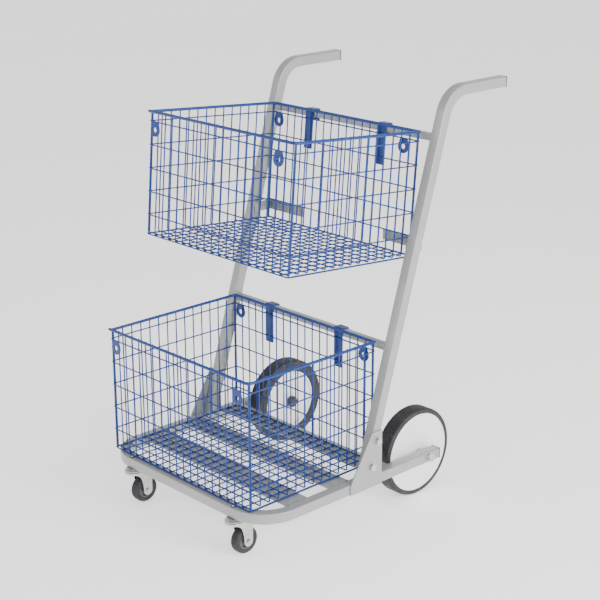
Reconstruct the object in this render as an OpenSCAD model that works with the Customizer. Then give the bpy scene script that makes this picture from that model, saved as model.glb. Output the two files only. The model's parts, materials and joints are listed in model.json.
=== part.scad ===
// Rolling basket trolley: a bent square-tube chassis with two leaning handle uprights,
// two lift-off welded wire baskets, two swivel castors in front and two large wheels behind.
// X runs across the trolley, Y from front to rear, Z up. Z = 0 is the floor.
// Millimetres.

/* [Chassis] */
// Side of the square steel tube
tube = 25; // [22:1:28]
// Wall of the square steel tube
tube_wall = 1.5; // [1:0.25:2.5]
// Overall width over the side tubes
frame_w = 562; // [540:1:620]
// Length of the base from its front face to the ends of the wheel arms
frame_len = 571; // [565:1:600]
// Outer radius of the bends at the two front corners
corner_r = 95; // [60:1:110]
// Width of each flat deck slat
slat_w = 62; // [50:1:66]
// Distance from one deck slat to the next
slat_pitch = 128; // [120:1:130]
// Distance from the front face of the base to the first deck slat
slat_start = 95; // [90:1:100]
// Thickness of the slats, gusset plates and brackets
plate_t = 3; // [2:0.5:4]

/* [Handles] */
// Lean of the uprights from vertical, in degrees
lean = 16.8; // [14:0.1:18]
// Distance from the front face of the base to the front face of each upright at its foot
foot_y = 308; // [302:1:312]
// Height of the top of the grips above the floor
grip_top = 984; // [950:1:1010]
// Distance from the front face of the base to the rear ends of the grips
grip_rear = 766; // [750:1:800]
// Centreline radius of the bend between an upright and its grip
grip_bend_r = 67; // [50:1:80]
// Side of the square cross bars that carry the baskets
bar = 16; // [12:1:18]

/* [Rear wheels] */
// Radius of the rear wheels
wheel_r = 108; // [102:1:112]
// Width of the rear tyres
wheel_w = 41; // [36:1:42]
// Radius of the white outer wheel disc
disc_r = 96; // [90:1:98]
// Gap between a side tube and its wheel
wheel_gap = 12; // [10:1:14]
// Distance from the front face of the base to the rear axle
axle_y = 535; // [530:1:540]
// Radius of the rear axle bolts
axle_r = 6; // [5:0.5:7]

/* [Castors] */
// Radius of the castor wheels
castor_r = 32; // [28:0.5:34]
// Width of the castor wheels
castor_w = 24; // [20:1:25]
// Distance from the middle of the trolley to each castor's swivel axis
castor_x = 180; // [160:1:185]
// Distance that a castor's wheel trails behind its swivel axis
castor_trail = 29.5; // [24:0.5:31]

/* [Baskets] */
// Width of each basket over its ring wires
basket_w = 486; // [470:1:488]
// Depth of each basket from front to back
basket_d = 387.5; // [380:0.5:390]
// Height of the lower basket
lower_basket_h = 300; // [280:1:305]
// Height of the upper basket
upper_basket_h = 290; // [280:1:300]
// Height of the upper basket's rim above the floor, at the cross bar
upper_rim = 884; // [860:1:890]
// Diameter of the rim rod
rim_d = 7; // [5:0.5:7]
// Diameter of the upright wires and the floor wires
wire_d = 3.2; // [2.5:0.1:4]
// Diameter of the wires that run round the basket
ring_d = 3.2; // [2.5:0.1:4]
// Number of spaces between the wires across the width
cells_x = 19; // [15:1:21]
// Number of spaces between the wires from front to back
cells_y = 14; // [10:1:16]
// Number of wires that run round the basket between the rim and the one round the floor
rings = 5; // [4:1:6]
// Distance from the rim to the first ring wire
first_ring = 25; // [20:1:28]
// Sideways offset of the baskets, which hang with some play between the uprights
basket_shift = -12; // [-12:1:12]
// Tilt of the upper basket, front edge up, in degrees
upper_tilt = 4.6; // [3:0.1:5.5]

/* [Hidden] */
$fn = 48;

// Small working gaps
gap = 0.05;
over = 1;

// Base
half_w = frame_w / 2;
inner_x = half_w - tube;
side_x = half_w - tube / 2;
base_top = wheel_r + tube / 2;
base_bottom = base_top - tube;
bend_r = corner_r - tube / 2;
plug_cap = 3;
plug_depth = 18;

// The origin is midway between the castor races in front and the grip ends behind
castor_y = 8;
race_r = 20.5;
mid_y = (castor_y - race_r + grip_rear) / 2;

// Uprights: direction along the leg, and the bend centre
leg_shift = tan(lean);
leg_centre_y = foot_y + tube / 2 / cos(lean);
grip_z = grip_top - tube / 2;
bend_z = grip_z - grip_bend_r;
bend_start_z = bend_z + grip_bend_r * sin(lean);
bend_start_y = leg_centre_y + leg_shift * (bend_start_z - base_top);
bend_y = bend_start_y + grip_bend_r * cos(lean);
grip_len = grip_rear - plug_cap - bend_y;
function leg_front(z) = foot_y + leg_shift * (z - base_top);
function leg_middle(z) = leg_centre_y + leg_shift * (z - base_top);

// Gusset plates and their bolts
gusset_h = 108;
gusset_foot = 100;
gusset_bolt_z = [base_top + 25, base_top + 84];
gusset_bolt_back = 5.5;
function gusset_bolt_y(z) = leg_middle(z) + gusset_bolt_back;
gusset_bolt_r = 4;
insert_r = 5.5;

// Baskets: the lower one stands on the deck, the upper one hangs from its cross bar
rest_gap = 0.4;
lower_z = base_top + rest_gap;
lower_y = 11.25;
strap_t = 3;
bar_gap = strap_t + 0.5;
lower_bar_y = lower_y + basket_d + bar_gap;
lower_bar_z = lower_z + lower_basket_h - strap_t - 0.3 - bar / 2;
// The upper cross bar is lower against the rim, to clear the tilted hooks
upper_bar_z = upper_rim - 5 - bar / 2;
bar_set_back = 4.8;
upper_bar_y = leg_front(upper_bar_z) + bar_set_back;
upper_y = upper_bar_y - bar_gap;

// Wire positions: the ring wires run round outside the upright wires
function spread(count, low, high) = [for (i = [0:count]) low + (high - low) * i / count];
wire_in = wire_d / 2;
ring_in = ring_d / 2;
layer = ring_d + gap;
upright_in = layer + wire_in;
wires_x = spread(cells_x, -basket_w / 2 + upright_in, basket_w / 2 - upright_in);
side_start = upright_in + wire_d + gap;
wires_y = spread(cells_y, side_start, basket_d - side_start);
cell = (basket_w - 2 * upright_in) / cells_x;
function basket_h(upper) = upper ? upper_basket_h : lower_basket_h;
function ring_pitch(h) = (h - first_ring) / (rings - 0.12);
function rings_z(h) = concat(ring_in, [for (i = [0:rings - 1]) h - first_ring - i * ring_pitch(h)]);
function wire_top(h) = h - rim_d - gap;

// Hook straps and eyelet tabs
strap_w = 25;
strap_x = 119;
strap_drop = 97;
strap_tail = 28;
strap_y = basket_d + gap;
tail_y = basket_d + bar_gap + bar + 2;
tab_r = 15.5;
tab_h = 32.5;
tab_t = 2.5;
tab_neck = 22;
tab_hole_r = 6;
tab_inset = 21.5;
function tab_top(h) = h - first_ring - ring_d / 2 - gap;

// Castors
axle_z = wheel_r;
race_h = 7;
head_gap = 1.5;
fork_top = base_bottom - race_h - head_gap;
fork_head_h = 7;
leg_in = castor_w / 2 + 2.5;
leg_t = 2.5;
kingpin_r = 5;
castor_axle_r = 3;
castor_core_r = 20;
running = 0.08;

// Rear wheels
wheel_out = inner_x - wheel_gap;
wheel_in = wheel_out - wheel_w;
tread_r = 79;
hub_r = 22;
bush_r = 10;
nut_h = 9;
cover_t = 3;

frame_grey = [0.74, 0.75, 0.75];
zinc = [0.82, 0.83, 0.84];
basket_blue = [0.10, 0.24, 0.60];
black = [0.08, 0.08, 0.09];
white = [0.93, 0.93, 0.92];

// Everything is drawn with Y = 0 at the front face of the base, then moved to the origin
module place() {
    translate([0, -mid_y, 0]) children();
}

// side is -1 for left and 1 for right
module at_side(side, x) {
    translate([side * x, 0, 0]) children();
}

// ---------------------------------------------------------------- tubes

module tube_bar(size, length) {
    translate([-size / 2, -size / 2, 0]) cube([size, size, length]);
}

module base_run(size, extra) {
    for (side = [-1, 1]) {
        translate([side * side_x, corner_r, base_bottom + tube / 2])
            rotate([-90, 0, 0]) tube_bar(size, frame_len - plug_cap - corner_r + extra);
        translate([side * (half_w - corner_r), corner_r, base_bottom + tube / 2])
            rotate([0, 0, side > 0 ? -90 : 180])
            rotate_extrude(angle = 90, $fn = 96)
            translate([bend_r, 0]) square(size, center = true);
    }
    translate([-half_w + corner_r, tube / 2, base_bottom + tube / 2])
        rotate([0, 90, 0]) tube_bar(size, frame_w - 2 * corner_r);
}

module base_frame() {
    color(frame_grey) place() difference() {
        base_run(tube, 0);
        base_run(tube - 2 * tube_wall, over);
        for (side = [-1, 1]) {
            translate([side * castor_x, castor_y, base_bottom - over])
                cylinder(r = kingpin_r + 0.25, h = tube + 2 * over);
            translate([side * half_w - tube - over, axle_y, axle_z])
                rotate([0, 90, 0]) cylinder(r = axle_r + 0.25, h = 2 * tube + 2 * over);
        }
    }
}

module deck_slat(i) {
    color(frame_grey) place()
        translate([-inner_x, slat_start + i * slat_pitch, base_top - plate_t])
        cube([2 * inner_x, slat_w, plate_t]);
}

module square_plug() {
    translate([-tube / 2, 0, -tube / 2]) cube([tube, plug_cap, tube]);
    inside = tube - 2 * tube_wall - 0.2;
    translate([-inside / 2, -plug_depth, -inside / 2]) cube([inside, plug_depth, inside]);
}

module arm_end_plugs() {
    color(black) place() for (side = [-1, 1])
        translate([side * side_x, frame_len - plug_cap, axle_z]) square_plug();
}

// Side outline of one upright: the leg, cut level at its foot, the bend and the straight grip
module leg_outline(size, extra) {
    half = size / 2;
    reach = 2 * grip_bend_r;
    polygon([
        [leg_centre_y - half / cos(lean) - leg_shift * extra, base_top - extra],
        [leg_centre_y + half / cos(lean) - leg_shift * extra, base_top - extra],
        [bend_start_y + half * cos(lean), bend_start_z - half * sin(lean)],
        [bend_start_y - half * cos(lean), bend_start_z + half * sin(lean)]
    ]);
    translate([bend_y, bend_z]) intersection() {
        difference() {
            circle(grip_bend_r + half, $fn = 96);
            circle(grip_bend_r - half, $fn = 96);
        }
        polygon([[0, 0], [-reach * cos(lean), reach * sin(lean)], [-reach, reach], [0, reach]]);
    }
    translate([bend_y, grip_z - half]) square([grip_len + extra, size]);
}

module leg_run(size, extra) {
    translate([-size / 2, 0, 0]) rotate([90, 0, 90]) linear_extrude(size) leg_outline(size, extra);
}

module upright(side) {
    color(frame_grey) place() at_side(side, side_x) difference() {
        leg_run(tube, 0);
        leg_run(tube - 2 * tube_wall, over);
        for (z = gusset_bolt_z)
            translate([side * tube / 2 - tube / 4, gusset_bolt_y(z), z]) rotate([0, 90, 0])
            cylinder(r = insert_r + 0.1, h = tube / 2);
    }
}

module handle_end_plugs() {
    color(black) place() for (side = [-1, 1])
        translate([side * side_x, grip_rear - plug_cap, grip_z]) square_plug();
}

module cross_bar(y, z) {
    color(frame_grey) place() translate([-inner_x, y, z - bar / 2]) difference() {
        cube([2 * inner_x, bar, bar]);
        translate([-over, tube_wall, tube_wall])
            cube([2 * inner_x + 2 * over, bar - 2 * tube_wall, bar - 2 * tube_wall]);
    }
}

// Plate that ties an upright to the base, with a slanting front edge
module gusset_plate(side) {
    rear = foot_y + tube / cos(lean) + leg_shift * gusset_h;
    color(frame_grey) place() translate([side > 0 ? half_w : -half_w - plate_t, 0, 0])
        difference() {
            rotate([90, 0, 90]) linear_extrude(plate_t) polygon([
                [rear - gusset_foot, base_bottom], [rear, base_bottom],
                [rear, base_top + gusset_h], [rear - 32, base_top + gusset_h],
                [rear - gusset_foot, base_top - 3]
            ]);
            for (z = gusset_bolt_z)
                translate([-over, gusset_bolt_y(z), z]) rotate([0, 90, 0])
                cylinder(r = gusset_bolt_r + 0.25, h = plate_t + 2 * over);
        }
}

// Hexagon bolt along +X from the underside of its head, which faces -X
module hex_bolt(r, head_af, head_h, length, washer_r) {
    translate([-head_h - 1.5, 0, 0]) rotate([0, 90, 0])
        cylinder(d = head_af / cos(30), h = head_h, $fn = 6);
    translate([-1.5, 0, 0]) rotate([0, 90, 0]) cylinder(r = washer_r, h = 1.5);
    rotate([0, 90, 0]) cylinder(r = r, h = length);
}

// Each bolt screws into a threaded insert set in the outer wall of the upright
module gusset_bolts() {
    color(zinc) place() for (side = [-1, 1], z = gusset_bolt_z)
        translate([side * (half_w + plate_t), gusset_bolt_y(z), z])
        rotate([0, 0, side > 0 ? 180 : 0]) {
            hex_bolt(gusset_bolt_r, 15, 5.5, 18, 9.5);
            translate([plate_t, 0, 0]) rotate([0, 90, 0]) cylinder(r = insert_r, h = 12);
        }
}

// Flat bar that steadies the back of the upper basket: a leg along the upright, then inwards
module rest_bracket(side) {
    z = upper_rim - 268;
    high = 24;
    face_y = upper_y - (upper_rim - z - high / 2) * tan(upper_tilt) + 2;
    reach = 122;
    start_y = leg_front(z) + 8;
    bent_r = plate_t + 1;
    color(frame_grey) place() at_side(side, inner_x) mirror([side > 0 ? 1 : 0, 0, 0])
        translate([0, 0, z]) linear_extrude(high) {
            translate([0, start_y]) square([plate_t, face_y + plate_t - bent_r - start_y]);
            translate([bent_r, face_y]) square([reach - bent_r, plate_t]);
            translate([bent_r, face_y + plate_t - bent_r]) intersection() {
                difference() {
                    circle(bent_r, $fn = 32);
                    circle(bent_r - plate_t, $fn = 32);
                }
                translate([-bent_r, 0]) square(bent_r);
            }
        }
}

// ---------------------------------------------------------------- castors

module at_castor(side) {
    translate([side * castor_x, castor_y, 0]) children();
}

// Pin welded flush in the front tube, with a small turned tip and a flange that holds the fork
module castor_kingpins() {
    pin_foot = fork_top - fork_head_h - 4;
    tip_r = 2.9;
    color(zinc) place() for (side = [-1, 1]) at_castor(side) {
        translate([0, 0, base_top]) cylinder(r = tip_r, h = 1.5);
        translate([0, 0, base_top + 1.5]) cylinder(r1 = tip_r, r2 = tip_r - 1, h = 1.5);
        translate([0, 0, pin_foot]) cylinder(r = kingpin_r, h = base_top - pin_foot);
        translate([0, 0, pin_foot]) cylinder(r = 9, h = 3.5);
    }
}

// Pressed cup under the tube, open below over the balls
module castor_top_races() {
    color(zinc) place() for (side = [-1, 1]) at_castor(side)
        translate([0, 0, base_bottom - race_h])
        rotate_extrude() polygon([
            [kingpin_r, race_h - 2.5], [14, race_h - 2.5], [race_r - 2, 0],
            [race_r, 0], [race_r, 1.5], [15, race_h], [kingpin_r, race_h]
        ]);
}

module castor_balls(side) {
    ball_r = 2.9;
    color(zinc) place() at_castor(side) for (i = [0:11])
        rotate([0, 0, i * 30]) translate([11.5, 0, fork_top + ball_r + 0.1]) sphere(r = ball_r, $fn = 24);
}

// Side outline of a fork leg: a vertical rear edge, a slanting front edge and a round eye
module fork_leg_shape() {
    eye_r = 12.5;
    rear = castor_trail + eye_r;
    foot = fork_top - fork_head_h;
    polygon([
        [-4, foot + 4], [-4, foot], [6.5, foot - 1], [castor_trail - eye_r + 1, castor_r + 8],
        [castor_trail - eye_r, castor_r], [rear, castor_r], [rear, foot + 4]
    ]);
    translate([castor_trail, castor_r]) circle(eye_r);
}

module castor_fork(side) {
    wide = leg_in + leg_t;
    foot = fork_top - fork_head_h;
    color(zinc) place() at_castor(side) difference() {
        union() {
            translate([0, 0, foot]) cylinder(r = race_r - 0.5, h = fork_head_h);
            for (x = [-wide, leg_in])
                translate([x, 0, 0]) rotate([90, 0, 90]) linear_extrude(leg_t) fork_leg_shape();
            // Crown that joins the legs behind the head
            translate([-wide, 8, foot + 1]) cube([2 * wide, castor_trail + 4.5, 3]);
        }
        translate([0, 0, foot - over])
            cylinder(r = kingpin_r + running, h = fork_head_h + 2 * over);
        translate([-2 * leg_in, castor_trail, castor_r]) rotate([0, 90, 0])
            cylinder(r = castor_axle_r + 0.1, h = 4 * leg_in);
    }
}

module castor_axle(side) {
    color(zinc) place() at_castor(side) translate([0, castor_trail, castor_r]) {
        reach = leg_in + leg_t;
        translate([-reach - 4, 0, 0]) rotate([0, 90, 0]) cylinder(r = castor_axle_r, h = 2 * reach + 8);
        translate([-reach - 5, 0, 0]) rotate([0, 90, 0]) cylinder(d = 10 / cos(30), h = 5, $fn = 6);
        translate([reach, 0, 0]) rotate([0, 90, 0]) cylinder(d = 10 / cos(30), h = 4, $fn = 6);
    }
}

module castor_hub(side) {
    color([0.35, 0.36, 0.38]) place() at_castor(side) translate([0, castor_trail, castor_r])
        rotate([0, 90, 0]) rotate_extrude() polygon([
            [castor_axle_r + running, -leg_in + 0.5], [8, -leg_in + 0.5], [8, -4],
            [castor_core_r - 3, -4], [castor_core_r - 3, -castor_w / 2 + 2],
            [castor_core_r, -castor_w / 2 + 2], [castor_core_r, castor_w / 2 - 2],
            [castor_core_r - 3, castor_w / 2 - 2], [castor_core_r - 3, 4],
            [8, 4], [8, leg_in - 0.5], [castor_axle_r + running, leg_in - 0.5]
        ]);
}

// Tread outline with rounded shoulders, turned about the wheel's axis
module tyre_ring(inner, outer, width, shoulder) {
    rotate([0, 90, 0]) rotate_extrude($fn = 96) {
        translate([inner, -width / 2]) square([outer - shoulder - inner, width]);
        translate([inner, -width / 2 + shoulder]) square([outer - inner, width - 2 * shoulder]);
        for (y = [-1, 1]) translate([outer - shoulder, y * (width / 2 - shoulder)])
            circle(shoulder, $fn = 32);
    }
}

module castor_tyre(side) {
    color(black) place() at_castor(side) translate([0, castor_trail, castor_r])
        tyre_ring(castor_core_r, castor_r, castor_w, 6);
}

// ---------------------------------------------------------------- rear wheels

// The outer side of the wheel faces +X here; the left wheel is mirrored
module at_rear_axle(side) {
    translate([0, axle_y, axle_z]) mirror([side > 0 ? 0 : 1, 0, 0]) children();
}

module rear_axle_bolts() {
    color(zinc) place() for (side = [-1, 1]) at_rear_axle(side)
        translate([half_w, 0, 0]) rotate([0, 0, 180])
        hex_bolt(axle_r, 19, 7.5, half_w - wheel_in + nut_h + 2, 12);
}

module rear_axle_spacers() {
    color(zinc) place() for (side = [-1, 1]) at_rear_axle(side)
        translate([wheel_out + 1, 0, 0]) rotate([0, 90, 0]) difference() {
            cylinder(r = 9.5, h = wheel_gap - 1);
            translate([0, 0, -over]) cylinder(r = axle_r + 0.1, h = wheel_gap + 2 * over);
        }
}

module rear_axle_nuts() {
    color(zinc) place() for (side = [-1, 1]) at_rear_axle(side)
        translate([wheel_in - 1 - nut_h, 0, 0]) rotate([0, 90, 0])
        difference() {
            cylinder(d = 19 / cos(30), h = nut_h, $fn = 6);
            translate([0, 0, -over]) cylinder(r = axle_r, h = nut_h + 2 * over);
        }
}

// Push-on cap over each axle nut
module rear_axle_caps() {
    cap_r = 14.5;
    color(black) place() for (side = [-1, 1]) at_rear_axle(side)
        translate([wheel_in - 1, 0, 0]) rotate([0, -90, 0]) rotate_extrude() polygon([
            [11.2, 1], [cap_r, 1], [cap_r, 10], [cap_r - 4, nut_h + 5.5], [0, nut_h + 5.5],
            [0, nut_h + 4], [9, nut_h + 2], [11.2, nut_h]
        ]);
}

module rear_bush(side) {
    color([0.55, 0.50, 0.42]) place() at_rear_axle(side)
        translate([wheel_in, 0, 0]) rotate([0, 90, 0]) difference() {
            cylinder(r = bush_r, h = wheel_w);
            translate([0, 0, -over]) cylinder(r = axle_r + running, h = wheel_w + 2 * over);
        }
}

// White wheel centre: a hub, a dished inner wall and a rim band, open on its outer side
module rear_hub(side) {
    wall = -wheel_w + 8;
    color(white) place() at_rear_axle(side)
        translate([wheel_out, 0, 0]) rotate([0, 90, 0]) rotate_extrude($fn = 96) polygon([
            [bush_r, -wheel_w], [hub_r, -wheel_w], [hub_r + 2, wall], [tread_r - 6, wall],
            [tread_r - 4, -wheel_w + 2], [tread_r, -wheel_w + 2], [tread_r, -cover_t - gap],
            [tread_r - 5, -cover_t - gap], [tread_r - 5, wall + 4], [hub_r, wall + 4],
            [hub_r, -cover_t - gap], [bush_r, -cover_t - gap]
        ]);
}

// Flat white cover pressed into the rim band; it laps over the tyre's side
module rear_cover(side) {
    spigot = tread_r - 5 - gap;
    color(white) place() at_rear_axle(side)
        translate([wheel_out, 0, 0]) rotate([0, 90, 0]) rotate_extrude($fn = 96) polygon([
            [bush_r + 0.3, -cover_t], [spigot - 3, -cover_t], [spigot - 3, -cover_t - 5],
            [spigot, -cover_t - 5], [spigot, -cover_t], [disc_r, -cover_t], [disc_r, -1.2],
            [disc_r - 2, 0], [bush_r + 0.3, 0]
        ]);
}

module rear_tyre(side) {
    color(black) place() at_rear_axle(side)
        translate([(wheel_in + wheel_out) / 2, 0, 0]) difference() {
            tyre_ring(tread_r, wheel_r, wheel_w, 6);
            // Seat for the outer cover
            translate([wheel_w / 2 - cover_t - gap, 0, 0]) rotate([0, 90, 0])
                cylinder(r = disc_r + gap, h = cover_t + over, $fn = 96);
        }
}

// ---------------------------------------------------------------- baskets

module wire_up(d, x, y, low, high) {
    translate([x, y, low]) cylinder(d = d, h = high - low, $fn = 24);
}

module wire_x(d, low, high, y, z) {
    translate([low, y, z]) rotate([0, 90, 0]) cylinder(d = d, h = high - low, $fn = 24);
}

module wire_y(d, x, low, high, z) {
    translate([x, low, z]) rotate([-90, 0, 0]) cylinder(d = d, h = high - low, $fn = 24);
}

// Lower basket: level on the deck. Upper basket: hung by its hooks and tilted back.
module at_basket(upper) {
    color(basket_blue) place()
        if (upper)
            translate([basket_shift, upper_y, upper_rim]) rotate([-upper_tilt, 0, 0])
            translate([0, -basket_d, -upper_basket_h]) children();
        else
            translate([basket_shift, lower_y, lower_z]) children();
}

module end_panel(upper, back) {
    y_upright = back ? basket_d - upright_in : upright_in;
    y_ring = back ? basket_d - ring_in : ring_in;
    h = basket_h(upper);
    at_basket(upper) {
        for (x = wires_x) wire_up(wire_d, x, y_upright, wire_d + gap, wire_top(h));
        for (z = rings_z(h)) wire_x(ring_d, -basket_w / 2, basket_w / 2, y_ring, z);
    }
}

module side_panel(upper, side) {
    h = basket_h(upper);
    x_upright = side * (basket_w / 2 - upright_in);
    x_ring = side * (basket_w / 2 - ring_in);
    at_basket(upper) {
        for (y = wires_y) wire_up(wire_d, x_upright, y, 2 * wire_d + 2 * gap, wire_top(h));
        for (z = rings_z(h)) wire_y(ring_d, x_ring, layer, basket_d - layer, z);
    }
}

module floor_panel(upper) {
    end = basket_w / 2 - layer;
    at_basket(upper) {
        for (x = wires_x) wire_y(wire_d, x, layer, basket_d - layer, wire_in);
        for (y = wires_y) wire_x(wire_d, -end, end, y, 3 * wire_in + gap);
    }
}

// Half of the rim: two straights and one bend; its first end runs past the corner
module rim_rod(past) {
    bend = 15;
    edge = rim_d / 2;
    wire_x(rim_d, -basket_w / 2 - past, basket_w / 2 - edge - bend, edge, 0);
    translate([basket_w / 2 - edge - bend, edge + bend, 0]) rotate([0, 0, -90])
        rotate_extrude(angle = 90) translate([bend, 0]) circle(d = rim_d, $fn = 24);
    wire_y(rim_d, basket_w / 2 - edge, edge + bend, basket_d - rim_d - gap, 0);
}

module rim(upper) {
    at_basket(upper) translate([0, 0, basket_h(upper) - rim_d / 2]) {
        rim_rod(7);
        translate([0, basket_d, 0]) rotate([0, 0, 180]) rim_rod(0);
    }
}

// Quarter of a bent strap's corner, centred on the inside of the bend
module strap_corner(r, quarter) {
    intersection() {
        difference() {
            circle(r, $fn = 32);
            circle(r - strap_t, $fn = 32);
        }
        translate([quarter == 0 ? -r : 0, 0]) square(r);
    }
}

// Flat strap welded outside the back panel and bent over the cross bar
module hook(upper, side) {
    h = basket_h(upper);
    bent_r = strap_t + 0.8;
    shoulder = h - bent_r;
    front_bend = strap_y + bent_r;
    rear_bend = tail_y + strap_t - bent_r;
    at_basket(upper) translate([side * strap_x - strap_w / 2, 0, 0])
        rotate([90, 0, 90]) linear_extrude(strap_w) {
            translate([strap_y, h - strap_drop]) square([strap_t, strap_drop - bent_r]);
            translate([front_bend, h - strap_t]) square([rear_bend - front_bend, strap_t]);
            translate([tail_y, h - strap_tail]) square([strap_t, strap_tail - bent_r]);
            translate([front_bend, shoulder]) strap_corner(bent_r, 0);
            translate([rear_bend, shoulder]) strap_corner(bent_r, 1);
        }
}

// Tab below the first ring wire: a neck that widens to a round end with a hole
module eyelet_tab() {
    drop = tab_h - tab_r;
    away = sqrt(pow(tab_neck / 2, 2) + pow(drop, 2));
    touch = atan2(drop, tab_neck / 2) - acos(tab_r / away);
    touch_x = tab_r * cos(touch);
    touch_z = tab_r * sin(touch) - drop;
    rotate([90, 0, 0]) linear_extrude(tab_t) difference() {
        union() {
            polygon([
                [-tab_neck / 2, 0], [tab_neck / 2, 0], [touch_x, touch_z], [-touch_x, touch_z]
            ]);
            translate([0, -drop]) circle(tab_r);
        }
        translate([0, -drop]) circle(tab_hole_r);
    }
}

// The tabs stand in the layer of the ring wires, set in from the corners
module eyelet_tabs(upper) {
    at_basket(upper) for (back = [false, true]) {
        y = back ? basket_d - ring_d + tab_t : ring_d;
        right_cells = upper ? 2 : 1.5;
        for (x = [-basket_w / 2 + tab_inset, basket_w / 2 - right_cells * cell])
            translate([x, y, tab_top(basket_h(upper))]) eyelet_tab();
    }
}

base_frame();
deck_slat(0);  // deck_slat_front
deck_slat(1);  // deck_slat_middle
deck_slat(2);  // deck_slat_rear
arm_end_plugs();
gusset_plate(-1);  // gusset_plate_left
gusset_plate(1);  // gusset_plate_right
gusset_bolts();
upright(-1);  // upright_left
upright(1);  // upright_right
handle_end_plugs();
cross_bar(upper_bar_y, upper_bar_z);  // upper_cross_bar
cross_bar(lower_bar_y, lower_bar_z);  // lower_cross_bar
rest_bracket(-1);  // rest_bracket_left
rest_bracket(1);  // rest_bracket_right
castor_kingpins();
castor_top_races();
castor_balls(-1);  // castor_balls_left
castor_fork(-1);  // castor_fork_left
castor_axle(-1);  // castor_axle_left
castor_hub(-1);  // castor_hub_left
castor_tyre(-1);  // castor_tyre_left
castor_balls(1);  // castor_balls_right
castor_fork(1);  // castor_fork_right
castor_axle(1);  // castor_axle_right
castor_hub(1);  // castor_hub_right
castor_tyre(1);  // castor_tyre_right
rear_axle_bolts();
rear_axle_spacers();
rear_axle_nuts();
rear_axle_caps();
rear_bush(-1);  // rear_bush_left
rear_hub(-1);  // rear_hub_left
rear_cover(-1);  // rear_cover_left
rear_tyre(-1);  // rear_tyre_left
rear_bush(1);  // rear_bush_right
rear_hub(1);  // rear_hub_right
rear_cover(1);  // rear_cover_right
rear_tyre(1);  // rear_tyre_right
end_panel(false, false);  // lower_basket_front
end_panel(false, true);  // lower_basket_back
side_panel(false, -1);  // lower_basket_left
side_panel(false, 1);  // lower_basket_right
floor_panel(false);  // lower_basket_floor
rim(false);  // lower_basket_rim
hook(false, -1);  // lower_hook_left
hook(false, 1);  // lower_hook_right
eyelet_tabs(false);  // lower_eyelet_tabs
end_panel(true, false);  // upper_basket_front
end_panel(true, true);  // upper_basket_back
side_panel(true, -1);  // upper_basket_left
side_panel(true, 1);  // upper_basket_right
floor_panel(true);  // upper_basket_floor
rim(true);  // upper_basket_rim
hook(true, -1);  // upper_hook_left
hook(true, 1);  // upper_hook_right
eyelet_tabs(true);  // upper_eyelet_tabs
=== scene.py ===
import json
import math

import bmesh
import bpy
from mathutils import Matrix, Vector


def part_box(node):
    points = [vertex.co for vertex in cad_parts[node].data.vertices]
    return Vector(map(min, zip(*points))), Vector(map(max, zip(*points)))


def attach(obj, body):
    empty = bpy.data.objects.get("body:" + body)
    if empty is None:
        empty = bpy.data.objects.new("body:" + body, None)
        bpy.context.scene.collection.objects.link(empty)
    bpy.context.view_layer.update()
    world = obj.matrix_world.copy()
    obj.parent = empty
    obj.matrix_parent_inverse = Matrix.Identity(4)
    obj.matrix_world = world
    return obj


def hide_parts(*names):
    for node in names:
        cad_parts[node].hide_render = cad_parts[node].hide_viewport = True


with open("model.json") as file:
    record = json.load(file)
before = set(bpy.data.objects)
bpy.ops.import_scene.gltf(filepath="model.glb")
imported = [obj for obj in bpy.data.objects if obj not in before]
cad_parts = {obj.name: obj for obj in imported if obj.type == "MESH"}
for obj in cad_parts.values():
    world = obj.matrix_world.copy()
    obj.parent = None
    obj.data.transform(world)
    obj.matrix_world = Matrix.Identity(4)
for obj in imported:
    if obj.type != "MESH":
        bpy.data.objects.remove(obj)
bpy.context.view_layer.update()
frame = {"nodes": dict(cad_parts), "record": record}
nodes = frame["nodes"]

MM = 0.001

# ---------------------------------------------------------------- sizes, in metres

# Camera, aimed at a point near the middle of the trolley
CAMERA_TARGET = (-0.0026, 0.0049, 0.4659)
CAMERA_DISTANCE = 3.51039
CAMERA_AZIMUTH = 46.712
CAMERA_ELEVATION = 18.29
CAMERA_ROLL = -0.156
CAMERA_LENS = 89.424

# Square tube: the outside corner's radius, and the bends' centreline radii
TUBE_CORNER = 2.6 * MM
BASE_BEND = 82.5 * MM
GRIP_BEND = 67 * MM
LEAN = math.radians(16.8)
BAR_CORNER = 1.6 * MM

# Frame welds: bead radii, and how far a bead stops short of an edge
SLAT_BEAD = 1.8 * MM
SLAT_BEAD_LONG = 20 * MM
SLAT_BEAD_IN = 6 * MM
BAR_BEAD = 1.5 * MM
BAR_FRONT_BEAD = 1.3 * MM
GUSSET_BEAD = 1.9 * MM
GUSSET_BEAD_SHORT = 4 * MM

# Basket wires
WIRE = 3.2 * MM
RING = 3.2 * MM
RIM = 7 * MM
GAP = 0.05 * MM  # left between touching wires in the CAD
SET_DOWN = 0.45 * MM  # depth to which the upright wires are pressed into the rings
LAYER = RING + GAP
UPRIGHT_IN = LAYER + WIRE / 2 - SET_DOWN
SIDE_START = LAYER + WIRE * 3 / 2 + GAP
FLOOR_BEND = 4 * MM
RING_BEND = 6 * MM
RIM_BEND = 15 * MM
RIM_PAST = 7 * MM  # length of the front rim rod's end past the corner
RIM_LAP = 0.75 * RIM
FLOOR_RING_IN = 0.8 * MM

# Basket layout
CELLS_X = 19
CELLS_Y = 14
RINGS = 5
RING_SPACES = RINGS - 0.12  # the lowest ring on the walls is 0.88 of a space above the floor
FIRST_RING = 25 * MM
UPPER_TILT = math.radians(4.6)
BASKET_H = {"lower": 300 * MM, "upper": 290 * MM}
STRAP_X = 119 * MM
STRAP_W = 25 * MM
TAB_LEFT_IN = 21.5 * MM
TAB_RIGHT_CELLS = {"lower": 1.5, "upper": 2}
TAB_WELD_X = 5 * MM

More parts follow.
